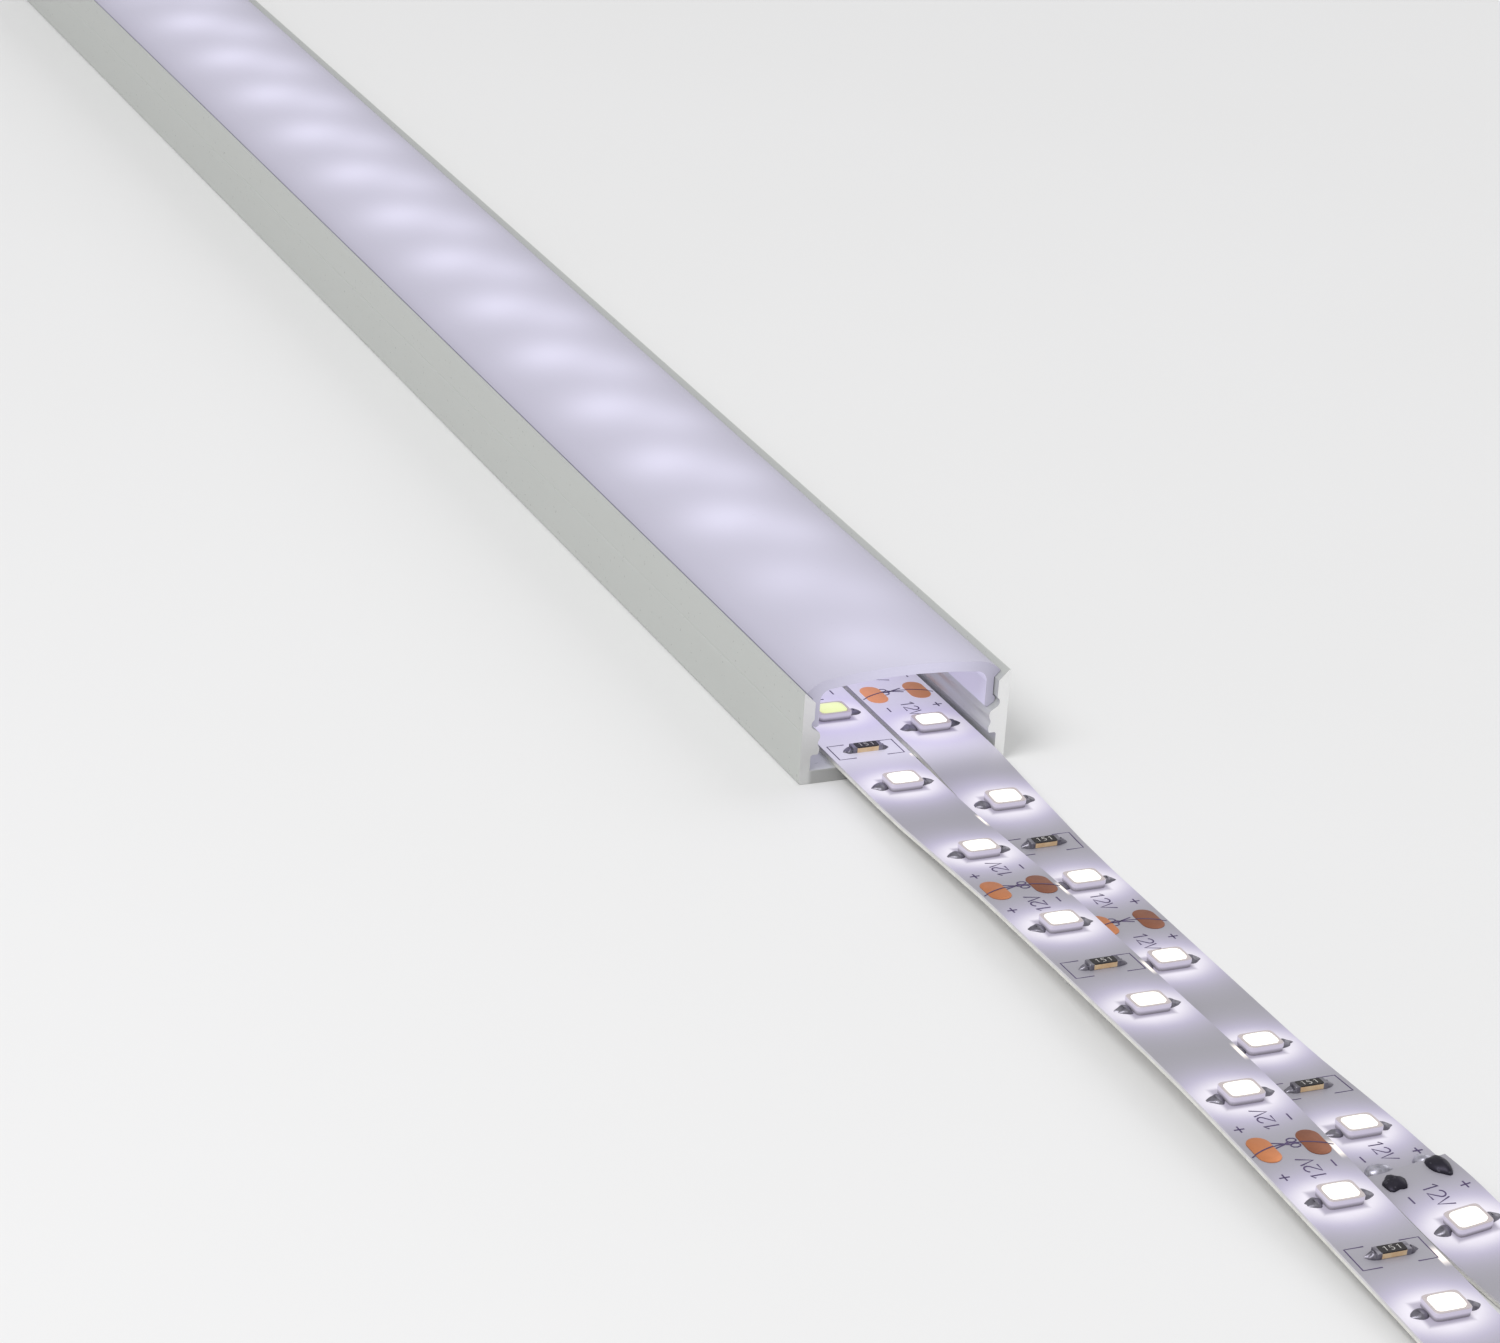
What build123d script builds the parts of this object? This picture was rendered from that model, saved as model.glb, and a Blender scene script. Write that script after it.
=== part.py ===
from build123d import *

import os
from math import cos, floor, radians, sin, sqrt

# Aluminium profile for LED strips, with an opal cover that slides in grooves under its lips
# and two flexible LED strips lying side by side on its floor. The strips come out of the near
# end and lie on the table. Millimetres: +Y along the profile, +X to the right seen from the
# near end, +Z up. The origin is the middle of the flat face that is screwed or stuck down.

# Extrusion
length = 280.0
profile_width = 22.0
wall_height = 9.6
floor_thickness = 1.4
upper_wall = 1.2
slot_wall = 1.05
lip_flat = 0.15
foot_radius = 0.3
die_line_height = 5.4
die_line_width = 0.3
die_line_depth = 0.04

# Groove for the cover's hook, below the lip
hook_drop = 3.35
groove_radius = 0.59
groove_depth = 0.28

# Ledge over the strips' edges
slot_height = 1.65
slot_radius = 0.25
ledge_reach = 1.8
ledge_slope = 0.38
ridge_bulge = 0.13
valley_depth = 0.06
valley_half = 0.25

# Opal cover
slide_gap = 0.1
cover_setback = 0.9
cover_rise = 1.35
cover_wall = 1.05
cover_edge = 0.65
shoulder_inset = 2.8
shoulder_drop = 0.55
leg_thickness = 0.8
leg_heel = 0.15
cover_corner = 1.2

# Flexible strips: a printed circuit on a layer of adhesive tape
strip_width = 8.0
circuit_thickness = 0.22
tape_thickness = 0.28
side_share = 0.115
middle_share = 0.155
segment = 50.0
leds_per_segment = 3
end_inset = 5.0
strip_thickness = circuit_thickness + tape_thickness

# Left strip: arches from the floor of the profile down to the table
left_first_cut = 18.65
left_outer_segments = 3
left_lift_off = 9.0
left_arch = [(20.0, 1.8), (29.0, 2.3), (47.0, 2.62), (70.0, 2.8), (92.0, 1.9), (110.0, 1.0)]
left_drift = 0.6

# Right strip: drops to the table, lies flat and rises again at its solder joint
right_first_cut = 13.6
right_outer_segments = 2
right_drop = [(4.0, 1.2), (12.0, 0.62)]
right_landing = 26.0
right_ramp_start = 60.0
right_ramp = [(75.0, 0.6)]
right_ramp_height = 0.8
right_drift = 0.6

# Joined section of the right strip: soldered over the end of the first one, askew and tilted
joint_lap = 1.8
joint_clearance = 0.02
joined_yaw = 3.5
joined_roll = 5.0
joined_fall = [(8.0, 0.48), (17.0, 0.06)]
joined_landing = 24.0
tape_setback = 0.5

# Light-emitting diodes
led_across = 3.5
led_along = 2.8
led_height = 0.8
led_standoff = 0.04
led_offset = 0.3
window_across = 3.1
window_along = 2.44
window_corner = 0.35
window_recess = 0.3
window_rise = 0.28
window_slope = 40.0
window_gap = 0.02

# Solder lumps at the ends of the diodes and resistors
lump_gap = 0.02
lump_profile = [(0.0, 1.0), (0.42, 0.92), (0.8, 0.6), (1.0, 0.0)]
led_lump_reach = 1.1
led_lump_height = 0.5
led_lump_along = 2.0
chip_lump_reach = 0.7
chip_lump_height = 0.35

# Resistors, one in each segment
resistor_across = 3.2
resistor_along = 1.6
resistor_height = 0.55
cap_across = 0.5
cap_skin = 0.06

# Copper pads, a pair across each cut line, and the solder lobes on the joint's pads
pad_offset = 2.35
pad_across = 1.9
pad_along = 3.9
pad_sides = 12
pad_thickness = 0.05
pad_lift = 0.01
lobe_radius = 1.0
lobe_height = 0.6
lobe_facet = 30
lobe_gap = 0.1

half_width = profile_width / 2
near_end = -length / 2
hook_height = wall_height - hook_drop
groove_half = sqrt(groove_radius**2 - (groove_radius - groove_depth) ** 2)
bevel_foot = wall_height - (upper_wall - lip_flat)
led_pitch = segment / leds_per_segment
slack = profile_width - 2 * (slot_wall + strip_width)
right_centre = half_width - slot_wall - side_share * slack - strip_width / 2
left_centre = right_centre - strip_width - middle_share * slack
LEVEL = (-1.0, 0.0)

os.makedirs("parts", exist_ok=True)


def finish(block, name):
    """Labels a finished piece and writes its STEP file."""
    block.part.label = name
    export_step(block.part, f"parts/{name}.step")


# Channel extrusion: floor, two walls with a bevelled lip, a hook groove and a ribbed ledge
ledge_root = hook_height - groove_half
ledge_top = ledge_root - ledge_slope
ledge_bottom = floor_thickness + slot_height
ledge_middle = (ledge_top + ledge_bottom) / 2
upper_ridge = (ledge_top + ledge_middle + valley_half) / 2
lower_ridge = (ledge_bottom + ledge_middle - valley_half) / 2
wall_face = half_width - upper_wall
nose_face = half_width - ledge_reach
slot_face = half_width - slot_wall

with BuildPart() as channel_extrusion:
    with BuildSketch(Plane.XZ) as channel_section:
        with BuildLine():
            Polyline(
                (0, 0),
                (half_width, 0),
                (half_width, die_line_height - die_line_width / 2),
                (half_width - die_line_depth, die_line_height),
                (half_width, die_line_height + die_line_width / 2),
                (half_width, wall_height),
                (half_width - lip_flat, wall_height),
                (wall_face, bevel_foot),
                (wall_face, hook_height + groove_half),
            )
            ThreePointArc(
                (wall_face, hook_height + groove_half),
                (wall_face + groove_depth, hook_height),
                (wall_face, ledge_root),
            )
            Line((wall_face, ledge_root), (nose_face, ledge_top))
            ThreePointArc(
                (nose_face, ledge_top),
                (nose_face - ridge_bulge, upper_ridge),
                (nose_face, ledge_middle + valley_half),
            )
            ThreePointArc(
                (nose_face, ledge_middle + valley_half),
                (nose_face + valley_depth, ledge_middle),
                (nose_face, ledge_middle - valley_half),
            )
            ThreePointArc(
                (nose_face, ledge_middle - valley_half),
                (nose_face - ridge_bulge, lower_ridge),
                (nose_face, ledge_bottom),
            )
            Line((nose_face, ledge_bottom), (slot_face - slot_radius, ledge_bottom))
            RadiusArc(
                (slot_face - slot_radius, ledge_bottom),
                (slot_face, ledge_bottom - slot_radius),
                slot_radius,
            )
            Polyline(
                (slot_face, ledge_bottom - slot_radius),
                (slot_face, floor_thickness),
                (0, floor_thickness),
            )
            mirror(about=Plane.YZ)
        make_face()
        foot_corners = channel_section.vertices().group_by(Axis.Y)[0]
        fillet([foot_corners.sort_by(Axis.X)[0], foot_corners.sort_by(Axis.X)[-1]], foot_radius)
    extrude(amount=length / 2, both=True)
finish(channel_extrusion, "channel_extrusion")


# Diffuser cover: a shallow crown resting on the bevels, held by two hooked legs
cover_top = wall_height + cover_rise
shoulder_x = half_width - shoulder_inset
edge_x = half_width - cover_edge
leg_outer = wall_face - slide_gap
leg_inner = leg_outer - leg_thickness
bevel_offset = half_width - lip_flat - wall_height - slide_gap * sqrt(2)
hook_radius = groove_radius - slide_gap
hook_centre = wall_face + groove_depth - groove_radius
hook_half = sqrt(hook_radius**2 - (leg_outer - hook_centre) ** 2)
crown_radius = (shoulder_x**2 + shoulder_drop**2) / (2 * shoulder_drop)
vault_radius = crown_radius - cover_wall
vault_edge = cover_top - crown_radius + sqrt(vault_radius**2 - leg_inner**2)
leg_foot = hook_height - hook_half - ledge_slope * (leg_outer - nose_face) / (wall_face - nose_face)

with BuildPart() as diffuser_cover:
    with BuildSketch(Plane.XZ) as cover_section:
        with BuildLine():
            crown = TangentArc(
                (0, cover_top), (shoulder_x, cover_top - shoulder_drop), tangent=(1, 0)
            )
            TangentArc(crown @ 1, (edge_x, edge_x - bevel_offset), tangent=crown % 1)
            Polyline(
                (edge_x, edge_x - bevel_offset),
                (leg_outer, leg_outer - bevel_offset),
                (leg_outer, hook_height + hook_half),
            )
            ThreePointArc(
                (leg_outer, hook_height + hook_half),
                (hook_centre + hook_radius, hook_height),
                (leg_outer, hook_height - hook_half),
            )
            Polyline(
                (leg_outer, hook_height - hook_half),
                (nose_face, leg_foot),
                (leg_inner, leg_foot + leg_heel),
                (leg_inner, vault_edge),
            )
            TangentArc((0, cover_top - cover_wall), (leg_inner, vault_edge), tangent=(1, 0))
            mirror(about=Plane.YZ)
        make_face()
        inner_corners = cover_section.vertices().filter_by_position(Axis.X, -leg_outer, leg_outer)
        vault_corners = inner_corners.filter_by_position(
            Axis.Y, vault_edge - slide_gap, vault_edge + slide_gap
        )
        fillet(vault_corners, cover_corner)
    extrude(amount=length / 2 - cover_setback, both=True)
finish(diffuser_cover, "diffuser_cover")


class Strip:
    """A flexible strip, laid out on its own plane: X across it, Y back into the profile, Z up.

    Each run of its side line is a list of (distance out of the near end, height of the tape's
    underside). Two points are a straight stretch, and more are a smooth wave with level ends.
    The plan is straight in the profile and bends sideways by drift outside it.
    """

    def __init__(self, across, runs, drift=0.0, out=0.0, height=0.0, yaw=0.0, roll=0.0):
        self.base = Plane(Location((across, near_end - out, height), (0, -roll, yaw)))
        self.side = Plane(
            origin=self.base.origin, x_dir=self.base.y_dir, z_dir=self.base.x_dir
        )
        self.runs = runs
        self.drift = drift
        self.inner = -runs[0][0][0]
        self.outer = -runs[-1][-1][0]
        with BuildLine(self.side) as top_line:
            self.draw_side(strip_thickness)
        self.wire = top_line.wire()
        start = self.base.to_local_coords(self.wire @ 0)
        self.runs_out = start.Y > (self.inner + self.outer) / 2

    def draw_side(self, lift):
        """Draws the side line, raised by lift, in the open BuildLine."""
        for run in self.runs:
            points = [(-out, height + lift) for out, height in run]
            if len(points) == 2:
                Line(*points)
            else:
                Spline(*points, tangents=(LEVEL, LEVEL))

    def layer(self, low, high, setback=0.0):
        """One layer, from low to high above the underside: the side view kept inside the plan."""
        first, last = self.runs[0][0], self.runs[-1][-1]
        half = strip_width / 2
        inner = self.inner - setback
        bend = min(inner, 0.0)
        with BuildPart() as strip_part:
            with BuildSketch(self.side):
                with BuildLine():
                    self.draw_side(low)
                    self.draw_side(high)
                    Line((-first[0], first[1] + low), (-first[0], first[1] + high))
                    Line((-last[0], last[1] + low), (-last[0], last[1] + high))
                make_face()
            extrude(amount=strip_width, both=True)
            with BuildSketch(self.base.offset(-strip_width)):
                with BuildLine():
                    for edge in (-half, half):
                        if inner > bend:
                            Line((edge, inner), (edge, bend))
                        Bezier(
                            (edge, bend),
                            (edge, (bend + self.outer) / 2),
                            (edge + self.drift, self.outer),
                        )
                    Line((-half, inner), (half, inner))
                    Line((self.drift - half, self.outer), (self.drift + half, self.outer))
                make_face()
            extrude(amount=2 * strip_width, mode=Mode.INTERSECT)
        return strip_part

    def place(self, distance, across=0.0, lift=0.0):
        """The plane on the upper side, this far from the inner end, moved across and raised."""
        reach = distance if self.runs_out else self.wire.length - distance
        point = self.wire.position_at(reach, position_mode=PositionMode.LENGTH)
        along = self.wire.tangent_at(reach, position_mode=PositionMode.LENGTH)
        up = self.base.x_dir.cross(along).normalized()
        if up.dot(self.base.z_dir) < 0:
            up = up * -1
        out = min(self.base.to_local_coords(point).Y, 0.0)
        sideways = self.base.x_dir * (across + self.drift * (out / self.outer) ** 2)
        return Plane(origin=point + sideways + up * lift, x_dir=self.base.x_dir, z_dir=up)


def end_view(place):
    """The upright plane across the strip at a place: X across, Y up."""
    return Plane(origin=place.origin, x_dir=place.x_dir, z_dir=place.y_dir * -1)


def window_outline(sketch, gap):
    """A window's outline in the open BuildSketch: a rectangle with its corners cut."""
    Rectangle(window_across - 2 * gap, window_along - 2 * gap)
    chamfer(sketch.vertices(), window_corner)


def led_housings(places):
    """White housings, each with a recess for its window."""
    with BuildPart() as housings:
        with BuildSketch(*places):
            Rectangle(led_across, led_along)
        extrude(amount=led_height)
        with BuildSketch(*[place.offset(led_height) for place in places]) as recess:
            window_outline(recess, 0.0)
        extrude(amount=-window_recess, mode=Mode.SUBTRACT)
    return housings


def led_windows(places):
    """Phosphor windows that fill the recesses and stand proud with sloping sides."""
    with BuildPart() as windows:
        with BuildSketch(*[place.offset(led_height - window_recess) for place in places]) as seat:
            window_outline(seat, window_gap)
        extrude(amount=window_recess)
        with BuildSketch(*[place.offset(led_height) for place in places]) as rim:
            window_outline(rim, window_gap)
        extrude(amount=window_rise, taper=window_slope)
    return windows


def draw_lump(start, reach, height):
    """One solder lump's end view in the open BuildLine, against a terminal at start."""
    flank = [(start + reach * out, height * up) for out, up in lump_profile]
    Polyline((start, 0), *flank, close=True)


def solder_lumps(leds, resistors):
    """Solder lumps at both ends of every diode and resistor."""
    groups = (
        (leds, led_across / 2, led_lump_reach, led_lump_height, led_lump_along),
        (resistors, resistor_across / 2, chip_lump_reach, chip_lump_height, resistor_along),
    )
    with BuildPart() as lumps:
        for places, edge, reach, height, along in groups:
            with BuildSketch(*[end_view(place) for place in places]):
                with BuildLine():
                    draw_lump(edge + lump_gap, reach, height)
                make_face()
                mirror(about=Plane.YZ)
            extrude(amount=along / 2, both=True)
    return lumps


def resistor_bodies(places):
    """Ceramic bodies, as long as the inside of their two caps."""
    with BuildPart() as bodies:
        with BuildSketch(*[place.offset(cap_skin) for place in places]):
            Rectangle(resistor_across - 2 * cap_skin, resistor_along)
        extrude(amount=resistor_height - 2 * cap_skin)
    return bodies


def resistor_caps(places):
    """Metal caps that wrap over both ends of each body."""
    edge = resistor_across / 2
    with BuildPart() as caps:
        with BuildSketch(*[end_view(place) for place in places]):
            with BuildLine():
                Polyline(
                    (edge - cap_across, 0),
                    (edge, 0),
                    (edge, resistor_height),
                    (edge - cap_across, resistor_height),
                    (edge - cap_across, resistor_height - cap_skin),
                    (edge - cap_skin, resistor_height - cap_skin),
                    (edge - cap_skin, cap_skin),
                    (edge - cap_across, cap_skin),
                    close=True,
                )
            make_face()
            mirror(about=Plane.YZ)
        extrude(amount=resistor_along / 2, both=True)
    return caps


def copper_pads(strip, cuts):
    """Two long round-ended pads across each cut line, halved where the strip ends at one."""
    pad_straight = pad_along - pad_across
    with BuildPart() as pads:
        for cut in cuts:
            with BuildSketch(strip.place(cut, lift=pad_lift)):
                with Locations((-pad_offset, 0), (pad_offset, 0)):
                    Rectangle(pad_across, pad_straight)
                    with Locations((0, -pad_straight / 2), (0, pad_straight / 2)):
                        RegularPolygon(pad_across / 2, pad_sides)
                if cut == 0:
                    with Locations((0, pad_along / 2)):
                        Rectangle(strip_width, pad_along, mode=Mode.SUBTRACT)
                elif cut + pad_along > strip.wire.length:
                    with Locations((0, -pad_along / 2)):
                        Rectangle(strip_width, pad_along, mode=Mode.SUBTRACT)
            extrude(amount=pad_thickness)
    return pads


def build_strip(name, strip, lead, segments, mirrored, tape_setback=0.0, joint_cut=None):
    """Every piece of one strip, from its circuit and tape to its pads.

    The first cut line lies lead from the inner end. Each segment has its resistor after the
    first diode, or before the last one on a strip that is mirrored end for end.
    """
    first_led = led_pitch / 2
    resistor_station = 2 * led_pitch if mirrored else led_pitch
    led_side = -led_offset if mirrored else led_offset
    leds, resistors, cuts = [], [], []
    for index in range(segments):
        start = lead + index * segment
        for led in range(leds_per_segment):
            station = start + first_led + led * led_pitch
            leds.append(strip.place(station, across=led_side, lift=led_standoff))
        resistors.append(strip.place(start + resistor_station, lift=led_standoff))
    for index in range(segments + 1):
        if index != joint_cut:
            cuts.append(lead + index * segment)
    circuit = strip.layer(tape_thickness, strip_thickness)
    finish(circuit, f"{name}_circuit")
    finish(strip.layer(0.0, tape_thickness, tape_setback), f"{name}_tape")
    finish(led_housings(leds), f"{name}_led_housings")
    finish(led_windows(leds), f"{name}_led_windows")
    finish(solder_lumps(leds, resistors), f"{name}_solder_lumps")
    finish(resistor_bodies(resistors), f"{name}_resistors")
    finish(resistor_caps(resistors), f"{name}_resistor_caps")
    finish(copper_pads(strip, cuts), f"{name}_pads")


# Left strip
left_inner_segments = floor((length - end_inset - left_first_cut) / segment)
left_inner_end = left_first_cut + left_inner_segments * segment
left_outer_end = left_outer_segments * segment - left_first_cut
left_strip = Strip(
    across=left_centre,
    drift=left_drift,
    runs=[
        [(-left_inner_end, floor_thickness), (left_lift_off, floor_thickness)],
        [(left_lift_off, floor_thickness), *left_arch, (left_outer_end, 0.0)],
    ],
)
build_strip(
    "left", left_strip, lead=0.0, segments=left_inner_segments + left_outer_segments,
    mirrored=False,
)

# Right strip, up to its solder joint
right_inner_segments = floor((length - end_inset - right_first_cut) / segment)
right_inner_end = right_first_cut + right_inner_segments * segment
joint_out = right_outer_segments * segment - right_first_cut
right_end = joint_out + joint_lap / 2
right_strip = Strip(
    across=right_centre,
    drift=right_drift,
    runs=[
        [(-right_inner_end, floor_thickness), (0.0, floor_thickness)],
        [(0.0, floor_thickness), *right_drop, (right_landing, 0.0)],
        [(right_landing, 0.0), (right_ramp_start, 0.0)],
        [(right_ramp_start, 0.0), *right_ramp, (right_end, right_ramp_height)],
    ],
)
right_segments = right_inner_segments + right_outer_segments
build_strip(
    "right", right_strip, lead=0.0, segments=right_segments, mirrored=True,
    joint_cut=right_segments,
)

# Joined section: its left edge lies on the first section's end and then on the table
edge_rise = strip_width / 2 * sin(radians(joined_roll))
joint_height = right_ramp_height + strip_thickness + joint_clearance - tape_thickness
joined_strip = Strip(
    across=right_centre + right_drift,
    out=joint_out,
    height=edge_rise,
    yaw=joined_yaw,
    roll=joined_roll,
    runs=[
        [(-joint_lap / 2, joint_height), (joint_lap / 2, joint_height)],
        [(joint_lap / 2, joint_height), *joined_fall, (joined_landing, 0.0)],
        [(joined_landing, 0.0), (segment, 0.0)],
    ],
)
build_strip(
    "joined", joined_strip, lead=joint_lap / 2, segments=1, mirrored=True,
    tape_setback=joint_lap + tape_setback, joint_cut=0,
)

# Solder lobes on both sides of the joint, one pair on each pad
first_lobe = right_strip.wire.length - joint_lap - lobe_gap - lobe_radius
lobe_flank = [(lobe_radius * sin(radians(turn)), lobe_height * cos(radians(turn)))
              for turn in range(0, 91, lobe_facet)]
lobe_places = []
for across in (-pad_offset, pad_offset):
    lobe_places.append(right_strip.place(first_lobe, across, lift=pad_lift))
    lobe_places.append(joined_strip.place(lobe_radius + lobe_gap, across, lift=pad_lift))
with BuildPart() as joint_solder:
    for lobe_place in lobe_places:
        with BuildSketch(end_view(lobe_place)):
            with BuildLine():
                Polyline((0, 0), *lobe_flank, close=True)
            make_face()
        revolve(axis=Axis(lobe_place.origin, lobe_place.z_dir))
finish(joint_solder, "joint_solder")
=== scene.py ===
"""Looks of an LED strip profile: extruded channel, opal cover and two lit flexible strips.

Lengths are metres in the packed model's own frame: +Y back along the profile from the end where
the strips come out, +X to the right seen from that end and +Z up from the mounting face.
"""

from __future__ import annotations

import logging
import math
from dataclasses import dataclass, field
from enum import Enum
from typing import Any, Callable, Sequence

import bmesh
import bpy
import numpy as np
from mathutils import Matrix, Vector


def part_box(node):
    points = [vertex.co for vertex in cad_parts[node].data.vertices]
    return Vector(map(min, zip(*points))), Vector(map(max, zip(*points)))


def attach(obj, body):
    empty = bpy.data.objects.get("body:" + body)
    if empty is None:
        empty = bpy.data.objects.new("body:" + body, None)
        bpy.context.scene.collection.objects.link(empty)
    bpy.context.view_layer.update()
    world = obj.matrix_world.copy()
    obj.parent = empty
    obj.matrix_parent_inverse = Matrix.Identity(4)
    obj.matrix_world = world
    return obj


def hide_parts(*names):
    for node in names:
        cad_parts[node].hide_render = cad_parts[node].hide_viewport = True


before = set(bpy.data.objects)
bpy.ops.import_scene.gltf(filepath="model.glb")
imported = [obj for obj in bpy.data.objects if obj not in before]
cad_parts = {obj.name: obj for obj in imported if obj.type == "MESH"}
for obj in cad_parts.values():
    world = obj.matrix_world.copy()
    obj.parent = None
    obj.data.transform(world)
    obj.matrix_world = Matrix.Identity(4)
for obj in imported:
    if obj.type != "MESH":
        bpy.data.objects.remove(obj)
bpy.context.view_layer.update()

Triple = tuple[float, float, float]
Array = np.ndarray
Material = bpy.types.Material

MM = 0.001
STRIP_WIDTH = 8.0 * MM
SEGMENT = 50.0 * MM
PAD_OFFSET = 2.35 * MM
PAD_ACROSS = 2.15 * MM
PAD_RISE = 0.062 * MM
SLOPE_STEP = 0.5 * MM
IMAGE_WIDTH = 1500
SHARP_ANGLE = 38.0
BLACK: Triple = (0.0, 0.0, 0.0)
PROFILE_BODY = "profile"
SHARE = "share"
log = logging.getLogger("led_profile")


class StripName(Enum):
    """The three lengths of flexible strip, named as their nodes are."""

    LEFT = "left"
    RIGHT = "right"
    JOINED = "joined"


class Reading(Enum):
    """The way a mark reads, as its own X axis: across the strip and towards its outer end."""

    BACK = (0.0, -1.0)
    OUT = (0.0, 1.0)
    ACROSS = (1.0, 0.0)
    TURNED = (-1.0, 0.0)


def math_method(operation: str, meaning: str, swapped: bool = False) -> Callable[..., Shade]:
    """Makes a method that adds one Math node.

    Args:
        operation: The Math node's operation.
        meaning: The method's docstring.
        swapped: Whether the other number comes first.

    Returns:
        The method.
    """

    def method(self: Shade, *others: Any) -> Shade:
        """Adds the Math node."""
        values = (*others, self) if swapped else (self, *others)
        return self.graph.math(operation, *values)

    method.__doc__ = meaning
    return method


class Shade:
    """A number worked out by the shader, on which Python's operators add Math nodes."""

    __add__ = __radd__ = math_method("ADD", "Sum.")
    __sub__ = math_method("SUBTRACT", "Difference.")
    __rsub__ = math_method("SUBTRACT", "Difference, the other way round.", swapped=True)
    __mul__ = __rmul__ = math_method("MULTIPLY", "Product.")
    __truediv__ = math_method("DIVIDE", "Quotient.")
    __pow__ = math_method("POWER", "Power.")
    __abs__ = math_method("ABSOLUTE", "Size without its sign.")
    exp = math_method("EXPONENT", "e to this power.")
    most = math_method("MAXIMUM", "The larger of the two.")
    least = math_method("MINIMUM", "The smaller of the two.")
    over = math_method("GREATER_THAN", "1 where this is greater than the other, else 0.")

    def __init__(self, graph: Graph, socket: bpy.types.NodeSocket) -> None:
        """Wraps one output socket of the graph."""
        self.graph = graph
        self.socket = socket

    def __neg__(self) -> Shade:
        """Opposite."""
        return self * -1.0

    def wrap(self, low: float, high: float) -> Shade:
        """This number brought into the range by whole turns."""
        return self.graph.math("WRAP", self, high, low)

    def step(self, low: float, high: float) -> Shade:
        """A smooth step from 0 at low to 1 at high.

        Args:
            low: The value where the step starts.
            high: The value where it ends.

        Returns:
            The step's shade.
        """
        limits = {"From Min": low, "From Max": high}
        kind = {"interpolation_type": "SMOOTHSTEP"}
        ramp = self.graph.node("ShaderNodeMapRange", kind, Value=self, **limits)
        return Shade(self.graph, ramp.outputs["Result"])


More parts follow.
